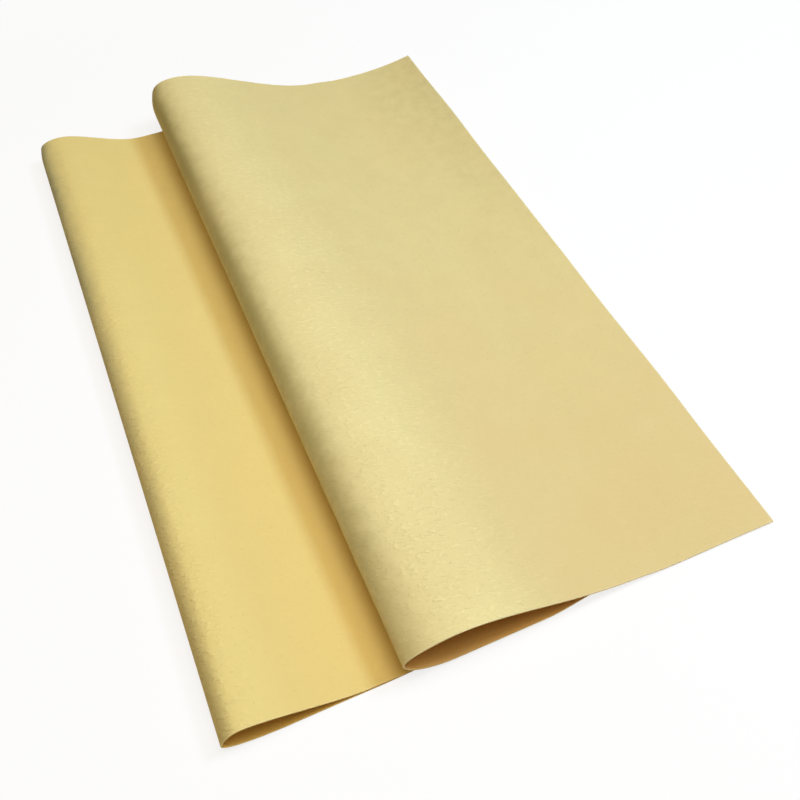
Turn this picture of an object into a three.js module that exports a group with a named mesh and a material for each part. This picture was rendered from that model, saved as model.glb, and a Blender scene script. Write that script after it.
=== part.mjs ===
import * as THREE from 'three';

// Two synthetic chamois cloths. Each is one plain sheet folded once across its middle, so that it has
// an under leaf, a fold and a top leaf. The upper cloth lies on the lower one, shifted towards the free edges.
// Sizes are in millimetres. +Z is up, the folds run along Y and the free edges point to +X.

// The sheets as they are cut
const SHEET_THICKNESS = 0.8;
const SHEET_LENGTH = 368; // across the fold
const LOWER_SHEET_WIDTH = 392; // along the fold
const UPPER_SHEET_WIDTH = 400; // along the fold

// How the cloths lie on each other
const UPPER_SHIFT = 73.4; // from the lower fold to the upper fold
const UPPER_OVERHANG = 2.8; // how far the upper cloth reaches past the lower one at the near end
const LAYER_GAP = 0.3; // between leaves that lie on each other
const SEAM_GAP = 0.3; // between a fold and the leaves that it joins
const DROP_RUN = 7; // length of the upper under leaf's drop past the lower cloth's free edges
const LEDGE_FALL = 0.08; // slope of the upper top leaf where it passes those edges

// The shape of each fold at its near and far end, measured from the fold's outermost line.
// foot: where the under leaf leaves the surface that the cloth lies on
// middle: height of the outermost line above that surface
// crestIn and crest: place and height of the fold's highest line
// landing: run in which the top leaf comes down, from the fold or, in the upper cloth, from the ledge
// lift: how far the top leaf's free edge stands up
// lead: by how much the top leaf is longer than half of the sheet
const LOWER_NEAR = { foot: 24, middle: 7.2, crestIn: 8.6, crest: 16.3, landing: 61, lift: 0, lead: 2.2 };
const LOWER_FAR = { foot: 17, middle: 10.8, crestIn: 14, crest: 16.4, landing: 61, lift: 0, lead: -0.3 };
const UPPER_NEAR = { foot: 25, middle: 15.7, crestIn: 24, crest: 24.6, landing: 20, lift: 0, lead: -0.4 };
const UPPER_FAR = { foot: 26, middle: 19.9, crestIn: 18, crest: 31.1, landing: 25.6, lift: 4.8, lead: 3.7 };
const FOLD_REACH = 24; // how far past its crest a fold goes before the top leaf begins

// How full the curves are, as shares of the way to the corner that each one rounds
const UNDER_FULLNESS = 0.51;
const OVER_FULLNESS = 0.45;
const SLOPE_START = 0.24;
const SLOPE_END = 0.32;

// Steps along each curve and along the fold
const ROUND_STEPS = 6;
const REACH_STEPS = 4;
const SLOPE_STEPS = 7;
const LANDING_STEPS = 4;
const EDGE_STEPS = 4;
const DROP_STEPS = 4;
const FLAT_STEPS = 2;
const WIDTH_STEPS = 8;

// Colours and finish
const LOWER_COLOUR = '#e6d189';
const UPPER_COLOUR = '#e0cf97';
const CLOTH_ROUGHNESS = 0.95;
const CLOTH_METALNESS = 0;

const HALF_THICKNESS = SHEET_THICKNESS / 2;
const LAYER_PITCH = SHEET_THICKNESS + LAYER_GAP;
const UNDER_LEVEL = HALF_THICKNESS; // mid height of a leaf that lies on the table
const TOP_LEVEL = UNDER_LEVEL + LAYER_PITCH; // mid height of a leaf that lies on that leaf
const LOWER_STACK = 2 * LAYER_PITCH; // height at which a cloth lies on the folded lower cloth

const at = (across, height) => new THREE.Vector2(across, height);

// A rounded quarter between two points whose tangents meet in a corner.
function quarter(start, corner, end, fullness) {
  const startHandle = start.clone().lerp(corner, fullness);
  const endHandle = end.clone().lerp(corner, fullness);
  return new THREE.CubicBezierCurve(start, startHandle, endHandle, end);
}

// A fall that starts level and ends with a given slope.
function fall(start, end, startShare, endShare, endSlope) {
  const run = end.x - start.x;
  const startHandle = at(start.x + startShare * run, start.y);
  const endHandle = at(end.x - endShare * run, end.y + endSlope * endShare * run);
  return new THREE.CubicBezierCurve(start, startHandle, endHandle, end);
}

// A stretch of a curve, from one share of its length to another, cut into steps.
function stretch(curve, steps, from = 0, to = 1) {
  return { curve, steps, from, to };
}

// The fold's rounds, from the foot to the crest. Points are the middle of the sheet.
function foldRounds(shape, bed) {
  const foot = at(shape.foot, bed + UNDER_LEVEL);
  const outermost = at(HALF_THICKNESS, bed + shape.middle);
  const crest = at(shape.crestIn, bed + shape.crest - HALF_THICKNESS);
  const underRound = quarter(foot, at(outermost.x, foot.y), outermost, UNDER_FULLNESS);
  const overRound = quarter(outermost, at(outermost.x, crest.y), crest, OVER_FULLNESS);
  return { foot, crest, underRound, overRound };
}

// The last stretch of a top leaf, level at first and lifting to its free edge like a parabola.
// Such a shallow parabola is longer than its run by two thirds of its rise squared over its run.
function freeEnd(start, length, lift) {
  const run = length - (2 * lift * lift) / (3 * length);
  const end = at(start.x + run, start.y + lift);
  return new THREE.QuadraticBezierCurve(start, at(start.x + run / 2, start.y), end);
}

// The lower cloth's section: both leaves come to lie flat on the table.
function lowerSection(shape) {
  const { foot, crest, underRound, overRound } = foldRounds(shape, 0);
  const underLength = SHEET_LENGTH / 2 - shape.lead - underRound.getLength();
  const underEdge = at(foot.x + underLength, UNDER_LEVEL);
  const underFlat = new THREE.LineCurve(underEdge, at(foot.x + SEAM_GAP, UNDER_LEVEL));
  const slope = fall(crest, at(shape.landing, TOP_LEVEL), SLOPE_START, SLOPE_END, 0);
  const topLength = SHEET_LENGTH / 2 + shape.lead - overRound.getLength() - slope.getLength();
  const topFlat = freeEnd(at(shape.landing, TOP_LEVEL), topLength, shape.lift);
  const reach = FOLD_REACH / slope.getLength();
  const seam = SEAM_GAP / slope.getLength();
  return {
    under: [stretch(underFlat, FLAT_STEPS)],
    fold: [
      stretch(underRound, ROUND_STEPS),
      stretch(overRound, ROUND_STEPS),
      stretch(slope, REACH_STEPS, 0, reach),
    ],
    top: [stretch(slope, SLOPE_STEPS, reach + seam, 1), stretch(topFlat, EDGE_STEPS)],
    rightmost: Math.max(underEdge.x, topFlat.v2.x),
  };
}

// The upper cloth's section: it lies on the lower cloth up to a ledge, and on the table past it.
function upperSection(shape, ledge) {
  const bed = LOWER_STACK;
  const { foot, crest, underRound, overRound } = foldRounds(shape, bed);
  const ledgeUnder = at(ledge, bed + UNDER_LEVEL);
  const dropFoot = at(ledge + DROP_RUN, UNDER_LEVEL);
  const dropMiddle = ledge + DROP_RUN / 2;
  const drop = new THREE.CubicBezierCurve(
    dropFoot,
    at(dropMiddle, dropFoot.y),
    at(dropMiddle, ledgeUnder.y),
    ledgeUnder,
  );
  const onBed = ledge - foot.x;
  const onTable = SHEET_LENGTH / 2 - shape.lead - underRound.getLength() - onBed - drop.getLength();
  const underEdge = at(dropFoot.x + onTable, UNDER_LEVEL);
  const tableFlat = new THREE.LineCurve(underEdge, dropFoot);
  const bedFlat = new THREE.LineCurve(ledgeUnder, at(foot.x + SEAM_GAP, foot.y));
  const ledgeTop = at(ledge, bed + TOP_LEVEL);
  const slope = fall(crest, ledgeTop, SLOPE_START, SLOPE_END, LEDGE_FALL);
  const landed = at(ledge + shape.landing, TOP_LEVEL);
  const landing = new THREE.CubicBezierCurve(
    ledgeTop,
    at(ledge + shape.landing / 3, ledgeTop.y - (LEDGE_FALL * shape.landing) / 3),
    at(ledge + shape.landing / 2, TOP_LEVEL),
    landed,
  );
  const overLength = overRound.getLength() + slope.getLength() + landing.getLength();
  const topFlat = freeEnd(landed, SHEET_LENGTH / 2 + shape.lead - overLength, shape.lift);
  const reach = FOLD_REACH / slope.getLength();
  const seam = SEAM_GAP / slope.getLength();
  return {
    under: [
      stretch(tableFlat, FLAT_STEPS),
      stretch(drop, DROP_STEPS),
      stretch(bedFlat, FLAT_STEPS),
    ],
    fold: [
      stretch(underRound, ROUND_STEPS),
      stretch(overRound, ROUND_STEPS),
      stretch(slope, REACH_STEPS, 0, reach),
    ],
    top: [
      stretch(slope, SLOPE_STEPS, reach + seam, 1),
      stretch(landing, LANDING_STEPS),
      stretch(topFlat, EDGE_STEPS),
    ],
    rightmost: Math.max(underEdge.x, topFlat.v2.x),
  };
}

// Points along the stretches, each with the direction that faces out of the folded cloth.
function stations(stretches) {
  const list = [];
  for (const { curve, steps, from, to } of stretches) {
    for (let i = list.length === 0 ? 0 : 1; i <= steps; i++) {
      const share = from + ((to - from) * i) / steps;
      const along = curve.getTangentAt(share);
      list.push({ point: curve.getPointAt(share), outward: at(-along.y, along.x) });
    }
  }
  return list;
}

// A closed sheet ruled between its near and its far section.
function sheetGeometry(nearStretches, farStretches, width) {
  const near = stations(nearStretches);
  const far = stations(farStretches);
  const count = near.length;
  const positions = [];
  const triangles = [];
  for (let j = 0; j <= WIDTH_STEPS; j++) {
    const share = j / WIDTH_STEPS;
    for (let i = 0; i < count; i++) {
      const point = near[i].point.clone().lerp(far[i].point, share);
      const offset = near[i].outward.clone().lerp(far[i].outward, share).setLength(HALF_THICKNESS);
      positions.push(point.x + offset.x, width * share, point.y + offset.y);
      positions.push(point.x - offset.x, width * share, point.y - offset.y);
    }
  }
  const outer = (i, j) => 2 * (j * count + i);
  const inner = (i, j) => outer(i, j) + 1;
  const quad = (a, b, c, d) => triangles.push(a, b, c, a, c, d);
  const last = count - 1;
  for (let j = 0; j < WIDTH_STEPS; j++) {
    for (let i = 0; i < last; i++) {
      quad(outer(i, j), outer(i + 1, j), outer(i + 1, j + 1), outer(i, j + 1));
      quad(inner(i, j), inner(i, j + 1), inner(i + 1, j + 1), inner(i + 1, j));
    }
    quad(inner(0, j), outer(0, j), outer(0, j + 1), inner(0, j + 1));
    quad(inner(last, j), inner(last, j + 1), outer(last, j + 1), outer(last, j));
  }
  for (let i = 0; i < last; i++) {
    quad(inner(i, 0), inner(i + 1, 0), outer(i + 1, 0), outer(i, 0));
    quad(inner(i, WIDTH_STEPS), outer(i, WIDTH_STEPS), outer(i + 1, WIDTH_STEPS), inner(i + 1, WIDTH_STEPS));
  }
  const geometry = new THREE.BufferGeometry();
  geometry.setAttribute('position', new THREE.Float32BufferAttribute(positions, 3));
  geometry.setIndex(triangles);
  geometry.computeVertexNormals();
  return geometry;
}

// One folded cloth: its under leaf, its fold and its top leaf.
function foldedCloth(prefix, near, far, width, colour) {
  const cloth = new THREE.Group();
  const pieces = { under_leaf: 'under', fold: 'fold', top_leaf: 'top' };
  for (const [piece, key] of Object.entries(pieces)) {
    const material = new THREE.MeshStandardMaterial({
      color: colour,
      roughness: CLOTH_ROUGHNESS,
      metalness: CLOTH_METALNESS,
    });
    const mesh = new THREE.Mesh(sheetGeometry(near[key], far[key], width), material);
    mesh.name = `${prefix}_${piece}`;
    cloth.add(mesh);
  }
  return cloth;
}

const lowerNear = lowerSection(LOWER_NEAR);
const lowerFar = lowerSection(LOWER_FAR);
const lowerRight = Math.max(lowerNear.rightmost, lowerFar.rightmost);
const ledge = lowerRight + LAYER_GAP - UPPER_SHIFT;
const upperNear = upperSection(UPPER_NEAR, ledge);
const upperFar = upperSection(UPPER_FAR, ledge);
const upperRight = UPPER_SHIFT + Math.max(upperNear.rightmost, upperFar.rightmost);

// The origin is on the table, under the middle of the two cloths.
const middleX = Math.max(lowerRight, upperRight) / 2;
const nearY = Math.min(0, -UPPER_OVERHANG);
const farY = Math.max(LOWER_SHEET_WIDTH, UPPER_SHEET_WIDTH - UPPER_OVERHANG);
const middleY = (nearY + farY) / 2;

const lowerCloth = foldedCloth('lower_cloth', lowerNear, lowerFar, LOWER_SHEET_WIDTH, LOWER_COLOUR);
lowerCloth.position.set(-middleX, -middleY, 0);

const upperCloth = foldedCloth('upper_cloth', upperNear, upperFar, UPPER_SHEET_WIDTH, UPPER_COLOUR);
upperCloth.position.set(UPPER_SHIFT - middleX, -UPPER_OVERHANG - middleY, 0);

const cloths = new THREE.Group();
cloths.add(lowerCloth, upperCloth);

export default cloths;
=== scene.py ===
from math import cos, pi, radians, sin

import bpy
import numpy as np
from bpy.props import FloatProperty, FloatVectorProperty, PointerProperty
from bpy.types import Operator, Panel, PropertyGroup
from mathutils import Matrix, Vector, noise


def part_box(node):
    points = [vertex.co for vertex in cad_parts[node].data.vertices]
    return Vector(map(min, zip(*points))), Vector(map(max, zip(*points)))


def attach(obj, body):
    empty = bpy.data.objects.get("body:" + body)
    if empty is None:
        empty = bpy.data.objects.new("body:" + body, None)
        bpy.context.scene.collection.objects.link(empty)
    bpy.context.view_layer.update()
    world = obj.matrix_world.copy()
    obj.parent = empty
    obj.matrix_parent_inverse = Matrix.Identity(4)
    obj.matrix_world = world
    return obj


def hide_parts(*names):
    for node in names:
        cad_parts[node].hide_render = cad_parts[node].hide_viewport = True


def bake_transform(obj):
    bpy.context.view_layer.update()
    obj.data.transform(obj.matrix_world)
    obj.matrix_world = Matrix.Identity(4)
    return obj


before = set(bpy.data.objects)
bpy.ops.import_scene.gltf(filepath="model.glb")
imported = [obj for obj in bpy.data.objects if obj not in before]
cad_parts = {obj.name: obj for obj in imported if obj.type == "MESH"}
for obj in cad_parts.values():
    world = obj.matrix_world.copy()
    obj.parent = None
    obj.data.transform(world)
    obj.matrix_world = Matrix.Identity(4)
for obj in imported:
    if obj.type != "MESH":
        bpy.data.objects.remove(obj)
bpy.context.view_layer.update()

bl_info = {
    "name": "Folded chamois cloths",
    "version": (1, 0, 0),
    "blender": (4, 5, 0),
    "location": "View3D > Sidebar > Chamois",
    "description": "Two synthetic chamois cloths, each folded once, laid on each other",
    "category": "Object",
}

MM = 0.001

# The origin is under the middle of the pile, so each cloth's own zero, on the outermost line of
# its fold at its near end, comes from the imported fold.
LOWER_FOLD_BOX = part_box("lower_cloth_fold")
UPPER_FOLD_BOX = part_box("upper_cloth_fold")
LOWER_LEAF_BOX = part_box("lower_cloth_under_leaf")
LOWER_TOP_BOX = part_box("lower_cloth_top_leaf")

# Curves are followed in this many points, then cut into equal steps
CURVE_POINTS = 241
# Grid steps of a sheet before its one subdivision
ROUND_STEP = 1.9 * MM
LEAF_STEP = 3.6 * MM
WIDTH_STEP = 3.6 * MM

# Handles of the curves, as shares of the run or of the way to the corner
FALL_START = 0.24
FALL_END = 0.32
UNDER_FULLNESS = 0.51

# How far the cut edges wander, the length of the waves, and how far in they still show
END_WANDER, END_WAVE, END_FADE = 0.5 * MM, 50 * MM, 30 * MM
FREE_WANDER, FREE_WAVE, FREE_FADE = 0.6 * MM, 60 * MM, 50 * MM
# Stretch across the cloth in which the under leaf's near edge comes to lie back
TUCK_RUN = 64 * MM, 96 * MM
# Stretch at the far end in which the fold draws in
DRAW_RUN = 14 * MM
# Place over the fold on an under leaf, which lies well away from it
OFF_FOLD = -9.0
# Rounding of the cut edge as a share of the thickness, and the least angle of an edge
EDGE_ROUNDING = 0.22
EDGE_ANGLE = radians(55)

# The upper cloth's grain starts this many metres on, so that the two cloths differ
UPPER_GRAIN_START = 1
# How much of the deeper inside colour, which is painted shade, the sheltered sides keep
INSIDE_SHADE_SHARE = 0.85

FLOOR_REACH = 4.0
FLOOR_LEVEL = -0.1 * MM
# Share of plain white in the floor under the cloths, and the distances in which it becomes all white
FLOOR_WHITE = 0.8
FLOOR_WHITE_RUN = 0.22, 0.7
SENSOR_WIDTH = 36
CLIP_START = 10 * MM


# Properties

def title(key):
    """A property's name as it is shown."""
    return key.replace("_", " ").capitalize()


def size(name, description, default):
    """A length that a user may change, in metres."""
    return FloatProperty(
        name=name, description=description, default=default, unit="LENGTH", precision=4
    )


def share(name, description, default):
    """A share from 0 to 1."""
    return FloatProperty(
        name=name, description=description, default=default, min=0, max=1, subtype="FACTOR"
    )


def angle(name, description, degrees):
    """An angle, given in degrees."""
    return FloatProperty(
        name=name, description=description, default=radians(degrees), subtype="ANGLE"
    )


def spot(name, description, default):
    """A place in the scene, in metres."""
    return FloatVectorProperty(
        name=name, description=description, default=default, size=3, subtype="TRANSLATION"
    )


def tint(name, description, default):
    """A surface colour."""
    return FloatVectorProperty(
        name=name, description=description, default=default, size=3, min=0, max=1, subtype="COLOR"
    )


FOLD_END_SIZES = {
    "foot": "where the under leaf leaves its bed, from the fold's outermost line",
    "middle": "height of the fold's outermost line above its bed",
    "crest_in": "place of the fold's highest line, from its outermost line",
    "crest": "height of the fold's highest line above its bed",
    "landing": "run in which the top leaf comes down",
    "lift": "how far the top leaf's free edge stands up",
    "lead": "by how much the top leaf is longer than half of the sheet",
}


def fold_end(end, fullness, *millimetres):
    """The properties that shape one end of a fold."""
    sizes = {
        f"{end}_{key}": size(title(f"{end}_{key}"), text.capitalize(), value * MM)
        for (key, text), value in zip(FOLD_END_SIZES.items(), millimetres)
    }
    full = f"{end}_fullness"
    return {**sizes, full: share(title(full), "How squarely the fold turns over into its crest", fullness)}


def sheet_sizes(box, tuck, draw):
    """The properties of a sheet as it is cut."""
    return {
        "width": size("Width", "Side of the sheet along its fold", box[1].y - box[0].y),
        "length": size("Length", "Side of the sheet across its fold", 368 * MM),
        "thickness": size("Thickness", "Thickness of the sheet", 0.8 * MM),
        "gap": size("Gap", "Gap between leaves that lie on each other", 0.3 * MM),
        "tuck": size("Tuck", "How far the under leaf's near edge lies back behind the top leaf's", tuck),
        "draw": size("Draw", "How far the far end of the fold draws in", draw),
    }


FINISH_TINTS = {
    "pale": "Colour of the raised nap",
    "deep": "Colour between the fibres",
    "warm": "Colour of the warmer patches",
    "edge": "Colour of the loose fibres along the cut",
    # Painted shade: a darker olive colour down the fold's outer side
    "pressed": "Colour of the flattened nap down the fold's outer side",
    # Painted shade: a deeper orange colour on the sheltered side
    "inside": "Colour of the sheltered side, which has faded less",
}
FINISH_SHARES = {
    # The next four shape the painted shade down the fold's outer side
    "press": "How much of the pressed colour the fold's near end takes",
    "press_tip": "How much of that the very end of the fold keeps",
    "press_run": "How gently the pressed colour begins at the near end",
    "press_end": "How far down the fold's outer side the pressed colour stays whole",
    "raised_side": "How much of the raised nap the fold's outer side shows",
}


def finish_looks(raised_reach, **values):
    """The properties of a cloth's finish."""
    tints = {key: tint(title(key), text, values[key]) for key, text in FINISH_TINTS.items()}
    shares = {key: share(title(key), text, values[key]) for key, text in FINISH_SHARES.items()}
    reach = FloatProperty(
        name="Raised reach",
        description="Where the raised nap ends: 0 is the fold's outermost line and 1 its crest",
        default=raised_reach,
        min=0,
    )
    return {
        **tints,
        **shares,
        "raised_reach": reach,
        "stroke": size("Stroke", "Length of the nap's short strokes", 3.9 * MM),
        "relief": size("Relief", "Depth of the nap", 0.3 * MM),
        "sheen": share("Sheen", "Soft light on the nap where it is seen from the side", 0.1),
    }


def lamp_settings(name, power, side, place, colour):
    """The properties of one square soft lamp."""
    key = name.lower()
    level = FloatProperty(
        name=f"{name} lamp power", description="Power of the lamp", default=power, min=0, unit="POWER"
    )
    return {
        f"{key}_power": level,
        f"{key}_side": size(f"{name} lamp side", "Side of the square lamp", side),
        f"{key}_place": spot(f"{name} lamp place", "Where the lamp hangs", place),
        f"{key}_tint": tint(f"{name} lamp tint", "Colour of the lamp's light", colour),
    }


class LowerCloth(PropertyGroup):
    """Sizes and finish of the lower cloth."""

    __annotations__ = {
        **sheet_sizes(LOWER_FOLD_BOX, 0.5 * MM, 1.2 * MM),
        **fold_end("near", 0.45, 24, 7.2, 8.6, 16.3, 61, 0, 2.2),
        **fold_end("far", 0.6, 17, 10.8, 14, 16.4, 61, 0, -0.3),
        **finish_looks(
            pale=(0.826, 0.676, 0.27),
            deep=(0.69, 0.55, 0.2),
            warm=(0.8, 0.61, 0.22),
            edge=(0.84, 0.7, 0.33),
            # The next two colours and the four shares after them are painted shade
            pressed=(0.355, 0.33, 0.165),
            inside=(0.76, 0.47, 0.1),
            press=0.42,
            press_tip=1.0,
            press_run=0.52,
            press_end=0.6,
            raised_side=0.8,
            raised_reach=2.2,
        ),
    }


class UpperCloth(PropertyGroup):
    """Sizes and finish of the upper cloth."""

    __annotations__ = {
        **sheet_sizes(UPPER_FOLD_BOX, 2.7 * MM, 2.6 * MM),
        **fold_end("near", 0.45, 25, 15.7, 24, 24.6, 20, 0, 0.2),
        **fold_end("far", 0.68, 26, 19.9, 18, 31.1, 25.6, 4.8, 5.4),
        "drop": size("Drop", "Run of the under leaf's drop past the lower cloth", 7 * MM),
        "ledge_fall": share("Ledge fall", "Slope of the top leaf where the lower cloth ends", 0.08),
        **finish_looks(
            pale=(0.85, 0.74, 0.362),
            deep=(0.605, 0.505, 0.225),
            warm=(0.735, 0.56, 0.26),
            edge=(0.8, 0.7, 0.4),
            # The next two colours and the four shares after them are painted shade
            pressed=(0.335, 0.28, 0.096),
            inside=(0.74, 0.415, 0.112),
            press=0.65,
            press_tip=0.7,
            press_run=0.3,
            press_end=0.38,
            raised_side=0.35,
            raised_reach=3.8,
        ),
    }


class Studio(PropertyGroup):
    """Floor, light and camera."""

    __annotations__ = {
        "floor": tint("Floor", "Colour of the floor as it is seen", (0.95, 0.95, 0.95)),
        "bounce": tint("Bounce", "Colour of the light that the floor throws back", (0.9, 0.77, 0.6)),
        "fill": FloatProperty(
            name="Fill", description="Level of the light from all round", default=0.03, min=0
        ),
        "fill_tint": tint("Fill tint", "Colour of the light from all round", (1.0, 0.7, 0.4)),
        **lamp_settings("Overhead", 14.5, 0.95, (0.183, -0.25, 1.386), (1.0, 0.94, 0.79)),
        **lamp_settings("Side", 7.4, 0.26, (0.665, -0.17, 1.0), (0.5, 0.71, 1.0)),
        **lamp_settings("Left", 2.6, 0.5, (-0.35, -0.1, 1.3), (1.0, 0.66, 0.36)),
        "eye": spot("Eye", "Where the camera stands", (-0.098084, -0.321979, 0.353181)),
        "heading": angle("Heading", "Turn of the camera to the right", 21.803),
        "tilt": angle("Tilt", "Tilt of the camera downwards", 52.298),
        "roll": angle("Roll", "Roll of the camera about its own line", 2.079),
        "lens": FloatProperty(name="Lens", description="Focal length in millimetres", default=40.58, min=1),
    }


# Sections of the folded sheets

def bezier(*points):
    """A dense line along a Bezier curve, one row of (across, height) for each point."""
    along = np.linspace(0, 1, CURVE_POINTS)[:, None]
    rows = [np.array(p, float) for p in points]
    while len(rows) > 1:
        rows = [a + (b - a) * along for a, b in zip(rows, rows[1:])]
    return rows[0]


def travelled(line):
    """How far along a line each of its points is."""
    return np.concatenate([[0], np.cumsum(np.hypot(*np.diff(line, axis=0).T))])


def quarter(start, corner, end, fullness):
    """A rounded quarter between two points whose tangents meet in a corner."""
    start, corner, end = (np.array(p, float) for p in (start, corner, end))
    return bezier(start, start + (corner - start) * fullness, end + (corner - end) * fullness, end)


def fall(start, end, end_slope):
    """A fall that starts level and ends with a given slope."""
    run = end[0] - start[0]
    handle_in = (start[0] + FALL_START * run, start[1])
    handle_out = (end[0] - FALL_END * run, end[1] + end_slope * FALL_END * run)
    return bezier(start, handle_in, handle_out, end)


def free_end(start, length, lift):
    """The last stretch of a top leaf, level at first and lifting to its free edge."""
    run = length - 2 * lift * lift / (3 * length)
    return bezier(start, (start[0] + run / 2, start[1]), (start[0] + run, start[1] + lift))


def end_of(cloth, end):
    """The seven sizes of one end of a cloth's fold."""
    return [getattr(cloth, f"{end}_{key}") for key in FOLD_END_SIZES]


def fold_rounds(cloth, end, bed):
    """The fold's two rounds, from its foot to its crest, at the middle of the sheet."""
    foot_in, middle, crest_in, crest_height = end_of(cloth, end)[:4]
    half = cloth.thickness / 2
    foot = (foot_in, bed + half)
    outermost = (half, bed + middle)
    crest = (crest_in, bed + crest_height - half)
    under = quarter(foot, (outermost[0], foot[1]), outermost, UNDER_FULLNESS)
    over = quarter(outermost, (outermost[0], crest[1]), crest, getattr(cloth, f"{end}_fullness"))
    return foot, crest, under, over


def lower_section(cloth, end):
    """(under leaf, fold and top leaf) of the lower cloth: both leaves come to lie flat on the table."""
    landing, lift, lead = end_of(cloth, end)[4:]
    half = cloth.thickness / 2
    level = half + cloth.thickness + cloth.gap
    foot, crest, under, over = fold_rounds(cloth, end, 0)
    flat = cloth.length / 2 - lead - travelled(under)[-1]
    leaf = bezier((foot[0] + flat, half), foot)
    slope = fall(crest, (landing, level), 0)
    rest = cloth.length / 2 + lead - travelled(over)[-1] - travelled(slope)[-1]
    return [(leaf, LEAF_STEP)], [
        (under, ROUND_STEP),
        (over, ROUND_STEP),
        (slope, LEAF_STEP),
        (free_end((landing, level), rest, lift), LEAF_STEP),
    ]


def upper_section(cloth, end, ledge):
    """(under leaf, fold and top leaf) of the upper cloth.

    It lies on the lower cloth up to a ledge, where that cloth ends, and then on the table.
    """
    landing, lift, lead = end_of(cloth, end)[4:]
    half = cloth.thickness / 2
    pitch = cloth.thickness + cloth.gap
    bed = 2 * pitch
    foot, crest, under, over = fold_rounds(cloth, end, bed)
    middle = ledge + cloth.drop / 2
    drop_foot = (ledge + cloth.drop, half)
    drop = bezier(drop_foot, (middle, half), (middle, bed + half), (ledge, bed + half))
    on_bed = ledge - foot[0]
    on_table = cloth.length / 2 - lead - travelled(under)[-1] - on_bed - travelled(drop)[-1]
    table_leaf = bezier((drop_foot[0] + on_table, half), drop_foot)
    bed_leaf = bezier((ledge, bed + half), foot)
    ledge_top = (ledge, bed + half + pitch)
    level = half + pitch
    slope = fall(crest, ledge_top, cloth.ledge_fall)
    down = bezier(
        ledge_top,
        (ledge + landing / 3, ledge_top[1] - cloth.ledge_fall * landing / 3),
        (ledge + landing / 2, level),
        (ledge + landing, level),
    )
    over_all = sum(travelled(line)[-1] for line in (over, slope, down))
    rest = free_end((ledge + landing, level), cloth.length / 2 + lead - over_all, lift)
    return [(table_leaf, LEAF_STEP), (drop, ROUND_STEP), (bed_leaf, LEAF_STEP)], [
        (under, ROUND_STEP),
        (over, ROUND_STEP),
        (slope, LEAF_STEP),
        (down, LEAF_STEP),
        (rest, LEAF_STEP),
    ]


# Sheets

def stations(near, far):
    """Matching points of the near and the far section, and where each of their lines ends.

    A point is (across, height, way along the sheet).
    """
    rows = []
    for (near_line, step), (far_line, _) in zip(near, far):
        ways = [travelled(line) for line in (near_line, far_line)]
        steps = max(2, round(max(way[-1] for way in ways) / step))
        cut = []
        for line, way in zip((near_line, far_line), ways):
            at = np.linspace(0, way[-1], steps + 1)
            across, height = (np.interp(at, way, line[:, k]) for k in range(2))
            cut.append(np.stack([across, height, at], 1))
        rows.append(np.stack(cut))
    joined = rows[0]
    ends = [joined.shape[1] - 1]
    for more in rows[1:]:
        more[:, :, 2] += joined[:, -1:, 2]
        joined = np.concatenate([joined, more[:, 1:]], 1)
        ends.append(joined.shape[1] - 1)
    return joined, ends


def waver(values, span, seed):
    """A smooth unevenness from -1 to 1 along a line, with waves about span long."""
    return np.array([noise.noise(Vector((v / span, seed, 0.5 * seed))) for v in values])


def step_up(values, low, high):
    """0 below low, 1 above high, smooth between."""
    t = np.clip((values - low) / (high - low), 0, 1)
    return t * t * (3 - 2 * t)


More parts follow.
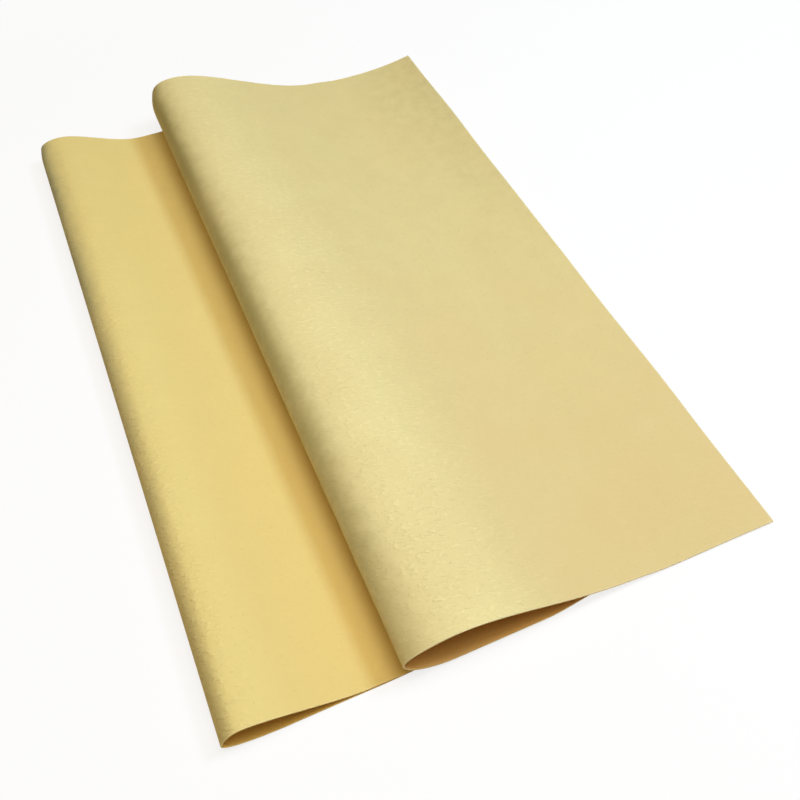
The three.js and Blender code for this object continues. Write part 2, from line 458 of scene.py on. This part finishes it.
def make_sheet(name, near, far, cloth, origin, start, seed, folded):
    """A sheet ruled between its near and far sections, as a grid of its middle surface.

    start is the way along the whole sheet at which this grid begins. A folded sheet holds the fold and
    the top leaf and has its free edge at its end; an under leaf has its free edge at its start.
    """
    cut, ends = stations(near, far)
    columns = cut.shape[1]
    width = cloth.width
    rows = round(width / WIDTH_STEP) + 1
    part = np.linspace(0, 1, rows)[:, None]
    across, height, way = (cut[0, :, k] * (1 - part) + cut[1, :, k] * part for k in range(3))
    along = np.repeat(part * width, columns, 1)
    place = np.stack([way + start, along], 2)

    from_free = way[:, -1:] - way if folded else way
    from_edge = np.minimum(np.minimum(along, width - along), from_free)
    # 0 on the fold's outermost line and 1 on its crest
    over_fold = np.full(way.shape, OFF_FOLD)
    if folded:
        outermost, crest = way[:, ends[0], None], way[:, ends[1], None]
        over_fold = (way - outermost) / (crest - outermost)
    # Turns of the sheet out of the level, in right angles: 2 at the foot, 1 on the outermost line
    # and 0 on the crest
    steep = np.zeros(way.shape)
    if folded:
        steep = np.arctan2(np.gradient(height, axis=1), np.gradient(across, axis=1)) / (pi / 2)
        steep = np.where(steep < -1, steep + 4, steep)

    # The cut edges wander a little
    near_fade, far_fade, free_fade = (
        np.clip(1 - way_in / reach, 0, 1) ** 2
        for way_in, reach in ((along, END_FADE), (width - along, END_FADE), (from_free, FREE_FADE))
    )
    wander = END_WANDER * waver(way[0], END_WAVE, seed + 1)[None, :] * near_fade
    wander = wander + END_WANDER * waver(way[0], END_WAVE, seed + 2)[None, :] * far_fade
    if not folded:
        wander = wander + cloth.tuck * step_up(across, *TUCK_RUN) * near_fade
    along = along + wander
    free_wander = FREE_WANDER * waver(part[:, 0] * width, FREE_WAVE, seed + 3)
    across = across + free_wander[:, None] * free_fade
    if folded:
        # The far end of the fold draws in a little
        far_end = np.clip(1 - (width - along) / DRAW_RUN, 0, 1) ** 2
        across = across + cloth.draw * far_end * np.cos(np.clip(over_fold, -1, 1) * pi / 2) ** 2

    points = np.stack([across + origin.x, along + origin.y, height + origin.z], 2).reshape(-1, 3)
    corner = (np.arange(rows - 1)[:, None] * columns + np.arange(columns - 1)[None, :]).ravel()
    faces = np.stack([corner, corner + 1, corner + columns + 1, corner + columns], 1)

    mesh = bpy.data.meshes.new(name)
    mesh.from_pydata(points.tolist(), [], faces.tolist())
    mesh.update()
    mesh.shade_smooth()
    loops = np.empty(len(mesh.loops), np.int32)
    mesh.loops.foreach_get("vertex_index", loops)
    flat_place = place.reshape(-1, 2)[loops].astype(np.float32)
    mesh.uv_layers.new(name="sheet").data.foreach_set("uv", flat_place.ravel())
    for key, values in (("from_edge", from_edge), ("over_fold", over_fold), ("steep", steep)):
        kept = mesh.attributes.new(key, "FLOAT", "POINT")
        kept.data.foreach_set("value", values.astype(np.float32).ravel())

    piece = bpy.data.objects.new(name, mesh)
    bpy.context.scene.collection.objects.link(piece)
    return piece, float(way[:, -1].mean())


def thicken(piece, thickness):
    """Gives a sheet its thickness and a slightly softened cut edge."""
    smooth = piece.modifiers.new("finer grid", "SUBSURF")
    smooth.levels = smooth.render_levels = 1
    smooth.boundary_smooth = "PRESERVE_CORNERS"
    body = piece.modifiers.new("sheet thickness", "SOLIDIFY")
    body.thickness = thickness
    body.offset = 0
    body.material_offset = 1
    body.use_even_offset = True
    edge = piece.modifiers.new("soft cut edge", "BEVEL")
    edge.width = EDGE_ROUNDING * thickness
    edge.segments = 2
    edge.limit_method = "ANGLE"
    edge.angle_limit = EDGE_ANGLE
    edge.harden_normals = True


# Finish

# (wave, detail, roughness, distortion) of each kind of unevenness, the first in strokes
STROKES = 1.0, 1.0, 0.5, 0.25
NAP = 0.55 * MM, 2.0, 0.6, 0.0
DENTS = 7 * MM, 2.0, 0.5, 0.0
MOTTLE = 21 * MM, 3.0, 0.6, 0.4
PATCHES = 48 * MM, 2.0, 0.5, 0.0
# The value about which noise lies
MID = 0.5
# Turn of the strokes, and length and breadth as shares of the cloth's stroke
STROKE_TURN, STROKE_LENGTH, STROKE_BREADTH = radians(-12), 1.0, 0.45
CROSS_TURN, CROSS_LENGTH, CROSS_BREADTH = radians(28), 0.55, 0.3
# Pin marks: their pitch, the edge of a mark in pitches, and which of them show
PIN_PITCH = 5.2 * MM
PIN_EDGE = 0.03, 0.11
PIN_SHOWN = 0.5, 0.6

# Stretches along the cloth from its near end, in metres
FAR_RUN = 0.0, 0.4
TIP_RUN = 0.0, 0.05
NEAR_WARMTH_RUN = 0.02, 0.27
# Stretches over the fold: 0 is its outermost line and 1 its crest. The first line holds where the painted
# highlight along the crest rises and fades
CREST_HIGHLIGHT_FROM, CREST_HIGHLIGHT_TO = (0.3, 0.75), (1.2, 3.2)
RAISED_FROM, CREST_FROM = (-0.5, 0.2), (0.45, 1.0)
NEAR_WARMTH_FROM = 1.6, 3.6
# Share of its reach up to which the raised nap stays whole
RAISED_HOLD = 0.42

# Values at the near and at the far end: of the painted highlight, the raised nap, and the painted shade's
# start and fade
CREST_HIGHLIGHT_ALONG = 1, 0.35
RAISED_ALONG = 1.2, 0.55
PAINTED_SHADE_START = 0.08, -0.05
PAINTED_SHADE_FADE = 0.44, 0.65
# At the far end alone: how gently the painted shade begins, and how much further down it stays
PAINTED_SHADE_RUN_FAR = 0.52
PAINTED_SHADE_HOLD_FAR = 0.2
# How far the nap is raised: from the flattest to the fullest patch, and from flat to bent
RAISED_PATCHES = 0.75, 1.25
RAISED_BENT = 0.13, 0.55
# Edge of a tuft in its stroke, how deep the ground between tufts lies, and the share of cross strokes
TUFT_EDGE = 0.46, 0.76
TUFT_GROUND = 0.3
TUFT_CROSS = 0.4

# How much of each kind of unevenness goes into the painted shade's outline, the height and the nap's tone;
# the tone also takes the painted highlight along the crest
PAINTED_SHADE_OUTLINE_MIX = {"strokes": 0.05, "dents": 0.12, "nap": 0.1}
HEIGHT_MIX = {"tufts": 1.2, "nap": 0.12, "dents": 0.45, "marks": -0.22}
SHADE_MIX = {"tufts": 0.4, "nap": 0.2, "mottle": 0.2, "painted_crest_highlight": 0.36, "marks": -0.25}
SHADE_RANGE = -0.15, 1.15
# Warmer colour: the patches that have it, and its share there and towards the near end
WARM_PATCHES = 0.35, 0.75
WARM_SHARE = 0.2
NEAR_WARMTH_SHARE = 0.6
# Loose fibres along the cut: how ragged they end, where, and how much of their colour shows
CUT_RAGGED = 0.7 * MM
CUT_RUN = 0.15 * MM, 0.9 * MM
CUT_SHARE = 0.35
# How much the mottling shifts the painted inside shade
INSIDE_SHADE_MOTTLE = 0.2
ROUGHNESS, ROUGHNESS_SPREAD = 0.89, 0.14


class Wire:
    """A socket of a node tree. Sums and products of wires add Math nodes."""

    def __init__(self, tree, socket=None):
        self.tree = tree
        self.socket = socket

    def node(self, kind, settings=None, values=None, output=0):
        """Adds a node: its settings come first, then the values or links of its sockets."""
        made = self.tree.nodes.new(kind)
        for key, value in (settings or {}).items():
            setattr(made, key, value)
        for key, value in (values or {}).items():
            if isinstance(value, Wire):
                self.tree.links.new(value.socket, made.inputs[key])
            else:
                made.inputs[key].default_value = value
        return Wire(self.tree, made.outputs[output] if made.outputs else None)

    def maths(self, operation, first, second):
        """A Math node of two values."""
        return self.node("ShaderNodeMath", {"operation": operation}, {0: first, 1: second})

    def __add__(self, other):
        return self.maths("ADD", self, other)

    __radd__ = __add__

    def __mul__(self, other):
        return self.maths("MULTIPLY", self, other)

    __rmul__ = __mul__

    def __sub__(self, other):
        return self.maths("SUBTRACT", self, other)

    def __rsub__(self, other):
        return self.maths("SUBTRACT", other, self)

    def __truediv__(self, other):
        return self.maths("DIVIDE", self, other)

    def __rtruediv__(self, other):
        return self.maths("DIVIDE", other, self)

    def ramp(self, low, high):
        """0 below low, 1 above high, smooth between."""
        limits = {"Value": self, "From Min": low, "From Max": high, "To Min": 0.0, "To Max": 1.0}
        return self.node("ShaderNodeMapRange", {"interpolation_type": "SMOOTHSTEP"}, limits)

    def from_to(self, first, second):
        """A value that goes from first to second as this value goes from 0 to 1."""
        return first + (second - first) * self

    def between(self, first, second):
        """A colour that goes from first to second as this value goes from 0 to 1."""
        colours = {0: self, 6: first, 7: second}
        return self.node("ShaderNodeMix", {"data_type": "RGBA"}, colours, output=2)


def solid(colour):
    """A colour with its alpha."""
    return (*colour, 1.0)


def grain(start, place, wave, detail, roughness, distortion):
    """Noise from 0 to 1 with waves about this long."""
    values = {
        "Vector": place,
        "Scale": 1 / wave,
        "Detail": detail,
        "Roughness": roughness,
        "Distortion": distortion,
    }
    return start.node("ShaderNodeTexNoise", {"noise_dimensions": "2D"}, values)


def brushed(start, place, turn, length, breadth):
    """Short strokes of the nap, all about the same way."""
    values = {"Vector": place, "Rotation": (0, 0, turn), "Scale": (length, breadth, 1)}
    turned = start.node("ShaderNodeMapping", {"vector_type": "TEXTURE"}, values)
    return grain(start, turned, *STROKES)


def unevenness(start, place, stroke):
    """The kinds of unevenness by name: patches and marks from 0 to 1, the others about 0."""
    strokes = brushed(start, place, STROKE_TURN, STROKE_LENGTH * stroke, STROKE_BREADTH * stroke)
    cross = brushed(start, place, CROSS_TURN, CROSS_LENGTH * stroke, CROSS_BREADTH * stroke)
    pins = {"Vector": place, "Scale": 1 / PIN_PITCH, "Randomness": 1.0}
    flat = {"voronoi_dimensions": "2D"}
    pin_marks = 1 - start.node("ShaderNodeTexVoronoi", flat, pins).ramp(*PIN_EDGE)
    pin_draw = start.node("ShaderNodeTexVoronoi", flat, pins, output=1)
    return {
        "strokes": strokes - MID,
        "cross": cross - MID,
        "nap": grain(start, place, *NAP) - MID,
        "dents": grain(start, place, *DENTS) - MID,
        "mottle": grain(start, place, *MOTTLE) - MID,
        "patches": grain(start, place, *PATCHES),
        "marks": pin_marks * start.node("ShaderNodeSeparateColor", None, {0: pin_draw}).ramp(*PIN_SHOWN),
    }


def mixed(base, shares, kinds):
    """A base value plus a share of each kind of unevenness."""
    for key, amount in shares.items():
        base = base + kinds[key] * amount
    return base


def suede(name, looks, sheltered=0.0):
    """A matt suede-like nonwoven: short brushed strokes, fine nap, sparse pin marks and soft mottling.

    sheltered is how much of the inside's deeper colour, which is painted shade, this side keeps.
    """
    material = bpy.data.materials.new(name)
    material.use_nodes = True
    tree = material.node_tree
    tree.nodes.clear()
    start = Wire(tree)
    place = start.node("ShaderNodeUVMap", {"uv_map": "sheet"})
    from_edge, over_fold, steep = (
        start.node("ShaderNodeAttribute", {"attribute_name": key}, output=2)
        for key in ("from_edge", "over_fold", "steep")
    )
    along = start.node("ShaderNodeSeparateXYZ", None, {0: place}, output=1)
    far_part = along.ramp(*FAR_RUN)
    kinds = unevenness(start, place, looks.stroke)
    nap, patches = kinds["nap"], kinds["patches"]

    # Painted highlight: the nap is lighter along the crest, less so towards the far end
    painted_crest_highlight = over_fold.ramp(*CREST_HIGHLIGHT_FROM) * (1 - over_fold.ramp(*CREST_HIGHLIGHT_TO))
    kinds["painted_crest_highlight"] = painted_crest_highlight * far_part.from_to(*CREST_HIGHLIGHT_ALONG)

    # Painted shade: a darker olive colour down the fold's outer side, stronger and further down towards the
    # far end
    painted_shade_outline = mixed(steep, PAINTED_SHADE_OUTLINE_MIX, kinds)
    run = far_part.from_to(looks.press_run, PAINTED_SHADE_RUN_FAR)
    begun = ((painted_shade_outline - far_part.from_to(*PAINTED_SHADE_START)) / run).ramp(0.0, 1.0)
    ended = (painted_shade_outline - looks.press_end) / far_part.from_to(*PAINTED_SHADE_FADE) - PAINTED_SHADE_HOLD_FAR * far_part
    pressed = begun * (1 - ended.ramp(0.0, 1.0))
    pressed = pressed * along.ramp(*TIP_RUN).from_to(looks.press_tip, 1)
    pressed = pressed * far_part.from_to(looks.press, 1)

    # Bending raises the nap in tufts
    bent = over_fold.ramp(*RAISED_FROM) * over_fold.ramp(*CREST_FROM).from_to(looks.raised_side, 1)
    bent = bent * (1 - over_fold.ramp(RAISED_HOLD * looks.raised_reach, looks.raised_reach))
    raised = patches.from_to(*RAISED_PATCHES) * bent.from_to(*RAISED_BENT)
    raised = raised * far_part.from_to(*RAISED_ALONG)
    tuft = (kinds["strokes"] + MID).ramp(*TUFT_EDGE) - TUFT_GROUND
    kinds["tufts"] = raised * (tuft + kinds["cross"] * TUFT_CROSS)

    # The nap's tone from deep to pale, which takes in the painted highlight along the crest
    shade = mixed(MID, SHADE_MIX, kinds).ramp(*SHADE_RANGE)
    colour = shade.between(solid(looks.deep), solid(looks.pale))
    # Painted shade down the fold's outer side
    colour = pressed.between(colour, solid(looks.pressed))
    # The top leaf is warmer at its near end, away from the fold, and patches warm all of it a little
    near_warmth = (1 - along.ramp(*NEAR_WARMTH_RUN)) * over_fold.ramp(*NEAR_WARMTH_FROM)
    warmed = patches.ramp(*WARM_PATCHES) * WARM_SHARE + near_warmth * NEAR_WARMTH_SHARE
    colour = warmed.between(colour, solid(looks.warm))
    cut = 1 - (from_edge + nap * CUT_RAGGED).ramp(*CUT_RUN)
    colour = (cut * CUT_SHARE).between(colour, solid(looks.edge))
    # Painted shade: the sheltered side takes the deeper orange inside colour
    if sheltered:
        colour = (kinds["mottle"] * INSIDE_SHADE_MOTTLE + sheltered).between(colour, solid(looks.inside))

    bump = {"Strength": 1.0, "Distance": looks.relief, "Height": mixed(0.0, HEIGHT_MIX, kinds)}
    coat = {
        "Base Color": colour,
        "Roughness": ROUGHNESS + ROUGHNESS_SPREAD * nap,
        "Specular IOR Level": 0.18,
        "Sheen Weight": looks.sheen,
        "Sheen Roughness": 0.5,
        "Sheen Tint": solid(looks.pale),
        "Normal": start.node("ShaderNodeBump", None, bump),
    }
    surface = start.node("ShaderNodeBsdfPrincipled", None, coat)
    start.node("ShaderNodeOutputMaterial", None, {"Surface": surface})
    return material


# Cloths

def dress(piece, cloth, materials):
    """What both sheets of a cloth share: thickness and finish."""
    thicken(piece, cloth.thickness)
    for material in materials:
        piece.data.materials.append(material)


class CHAMOIS_OT_lower_cloth(Operator):
    """Make the lower cloth: its under leaf, and its fold and top leaf in one sheet"""

    bl_idname = "chamois.lower_cloth"
    bl_label = "Lower cloth"

    def execute(self, context):
        cloth = context.scene.lower_cloth
        origin = Vector((LOWER_FOLD_BOX[0].x, LOWER_FOLD_BOX[0].y, 0))
        near, far = lower_section(cloth, "near"), lower_section(cloth, "far")
        materials = suede("warm yellow suede", cloth), suede("warm yellow suede inside", cloth, INSIDE_SHADE_SHARE)
        under, length = make_sheet(
            "lower_cloth_under_sheet", near[0], far[0], cloth, origin, 0, seed=3, folded=False
        )
        dress(under, cloth, materials)
        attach(under, "lower_under")
        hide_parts("lower_cloth_under_leaf")
        folded, top_length = make_sheet(
            "lower_cloth_folded_sheet", near[1], far[1], cloth, origin, length, seed=5, folded=True
        )
        dress(folded, cloth, materials)
        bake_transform(folded)
        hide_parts("lower_cloth_fold", "lower_cloth_top_leaf")
        return {"FINISHED"}


class CHAMOIS_OT_upper_cloth(Operator):
    """Make the upper cloth: its under leaf, and its fold and top leaf in one sheet"""

    bl_idname = "chamois.upper_cloth"
    bl_label = "Upper cloth"

    def execute(self, context):
        cloth = context.scene.upper_cloth
        origin = Vector((UPPER_FOLD_BOX[0].x, UPPER_FOLD_BOX[0].y, 0))
        ledge = max(LOWER_LEAF_BOX[1].x, LOWER_TOP_BOX[1].x) + cloth.gap - origin.x
        near, far = upper_section(cloth, "near", ledge), upper_section(cloth, "far", ledge)
        materials = suede("pale yellow suede", cloth), suede("pale yellow suede inside", cloth, INSIDE_SHADE_SHARE)
        begin = UPPER_GRAIN_START
        under, length = make_sheet(
            "upper_cloth_under_sheet", near[0], far[0], cloth, origin, begin, seed=7, folded=False
        )
        dress(under, cloth, materials)
        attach(under, "upper_under")
        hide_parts("upper_cloth_under_leaf")
        folded, top_length = make_sheet(
            "upper_cloth_folded_sheet", near[1], far[1], cloth, origin, begin + length, seed=9, folded=True
        )
        dress(folded, cloth, materials)
        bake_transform(folded)
        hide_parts("upper_cloth_fold", "upper_cloth_top_leaf")
        return {"FINISHED"}


# Stage

def seen_directly(start):
    """1 for what is seen, also in a mirror or through glass, and 0 for light that falls on things."""
    rays = [
        start.node("ShaderNodeLightPath", None, None, output=name)
        for name in ("Is Camera Ray", "Is Glossy Ray", "Is Transmission Ray")
    ]
    return (rays[0] + rays[1] + rays[2]).ramp(0.0, 1.0)


class CHAMOIS_OT_stage(Operator):
    """Make the floor, the light and the camera"""

    bl_idname = "chamois.stage"
    bl_label = "Floor, light and camera"

    def execute(self, context):
        studio = context.scene.studio
        self.floor(studio)
        self.light(context.scene, studio)
        self.camera(context.scene, studio)
        context.scene.view_settings.view_transform = "Standard"
        return {"FINISHED"}

    def floor(self, studio):
        """A pale floor that takes the cloths' shadow and throws a warmer light back."""
        mesh = bpy.data.meshes.new("floor")
        signs = ((-1, -1), (1, -1), (1, 1), (-1, 1))
        corners = [(FLOOR_REACH * x, FLOOR_REACH * y, FLOOR_LEVEL) for x, y in signs]
        mesh.from_pydata(corners, [], [(0, 1, 2, 3)])
        floor = bpy.data.objects.new("floor", mesh)
        bpy.context.scene.collection.objects.link(floor)
        material = bpy.data.materials.new("pale floor")
        material.use_nodes = True
        material.node_tree.nodes.clear()
        start = Wire(material.node_tree)
        paint, thrown_back = (
            start.node("ShaderNodeBsdfDiffuse", None, {"Color": solid(colour)})
            for colour in (studio.floor, studio.bounce)
        )
        white = start.node("ShaderNodeEmission", None, {"Color": (1, 1, 1, 1), "Strength": 1.0})
        place = start.node("ShaderNodeTexCoord", None, None, output="Object")
        away = start.node("ShaderNodeVectorMath", {"operation": "LENGTH"}, {0: place}, output=1)
        share_white = away.ramp(*FLOOR_WHITE_RUN).from_to(FLOOR_WHITE, 1)
        view = start.node("ShaderNodeMixShader", None, {0: share_white, 1: paint, 2: white})
        ways = {0: seen_directly(start), 1: thrown_back, 2: view}
        surface = start.node("ShaderNodeMixShader", None, ways)
        start.node("ShaderNodeOutputMaterial", None, {"Surface": surface})
        mesh.materials.append(material)

    def light(self, scene, studio):
        """A dim light from all round, and three lamps turned to the cloths."""
        world = bpy.data.worlds.new("studio")
        world.use_nodes = True
        world.node_tree.nodes.clear()
        start = Wire(world.node_tree)
        glow = {"Color": solid(studio.fill_tint), "Strength": studio.fill}
        fill = start.node("ShaderNodeBackground", None, glow)
        white = start.node("ShaderNodeBackground", None, {"Color": (1, 1, 1, 1), "Strength": 1.0})
        surface = start.node("ShaderNodeMixShader", None, {0: seen_directly(start), 1: fill, 2: white})
        start.node("ShaderNodeOutputWorld", None, {"Surface": surface})
        scene.world = world
        for key in ("overhead", "side", "left"):
            power, side, place, colour = (
                getattr(studio, f"{key}_{what}") for what in ("power", "side", "place", "tint")
            )
            lamp = bpy.data.lights.new(f"{key} lamp", "AREA")
            lamp.shape = "SQUARE"
            lamp.size = side
            lamp.energy = power
            lamp.color = colour
            hung = bpy.data.objects.new(f"{key} lamp", lamp)
            hung.location = place
            hung.rotation_mode = "QUATERNION"
            hung.rotation_quaternion = (-Vector(place)).to_track_quat("-Z", "Y")
            scene.collection.objects.link(hung)

    def camera(self, scene, studio):
        """The camera of the photograph."""
        heading, tilt = studio.heading, studio.tilt
        ahead = Vector((sin(heading) * cos(tilt), cos(heading) * cos(tilt), -sin(tilt)))
        right = Vector((cos(heading), -sin(heading), 0))
        down = ahead.cross(right)
        side = cos(studio.roll) * right + sin(studio.roll) * down
        up = sin(studio.roll) * right - cos(studio.roll) * down
        view = bpy.data.cameras.new("camera")
        view.lens = studio.lens
        view.sensor_width = SENSOR_WIDTH
        view.clip_start = CLIP_START
        camera = bpy.data.objects.new("camera", view)
        turned = Matrix((side, up, -ahead)).transposed().to_4x4()
        camera.matrix_world = Matrix.Translation(studio.eye) @ turned
        scene.collection.objects.link(camera)
        scene.camera = camera


class CHAMOIS_PT_panel(Panel):
    """Lists the pieces and the stage"""

    bl_idname = "CHAMOIS_PT_panel"
    bl_label = "Chamois cloths"
    bl_space_type = "VIEW_3D"
    bl_region_type = "UI"
    bl_category = "Chamois"

    def draw(self, context):
        scene = context.scene
        for operator, settings in (
            (CHAMOIS_OT_lower_cloth, scene.lower_cloth),
            (CHAMOIS_OT_upper_cloth, scene.upper_cloth),
            (CHAMOIS_OT_stage, scene.studio),
        ):
            box = self.layout.box()
            box.operator(operator.bl_idname)
            for key in settings.__annotations__:
                box.prop(settings, key)


CLASSES = (
    LowerCloth,
    UpperCloth,
    Studio,
    CHAMOIS_OT_lower_cloth,
    CHAMOIS_OT_upper_cloth,
    CHAMOIS_OT_stage,
    CHAMOIS_PT_panel,
)


def register():
    for cls in CLASSES:
        bpy.utils.register_class(cls)
    bpy.types.Scene.lower_cloth = PointerProperty(type=LowerCloth)
    bpy.types.Scene.upper_cloth = PointerProperty(type=UpperCloth)
    bpy.types.Scene.studio = PointerProperty(type=Studio)


def unregister():
    del bpy.types.Scene.studio
    del bpy.types.Scene.upper_cloth
    del bpy.types.Scene.lower_cloth
    for cls in reversed(CLASSES):
        bpy.utils.unregister_class(cls)


def main():
    register()
    bpy.ops.chamois.stage()
    bpy.ops.chamois.lower_cloth()
    bpy.ops.chamois.upper_cloth()


if __name__ == "__main__":
    main()
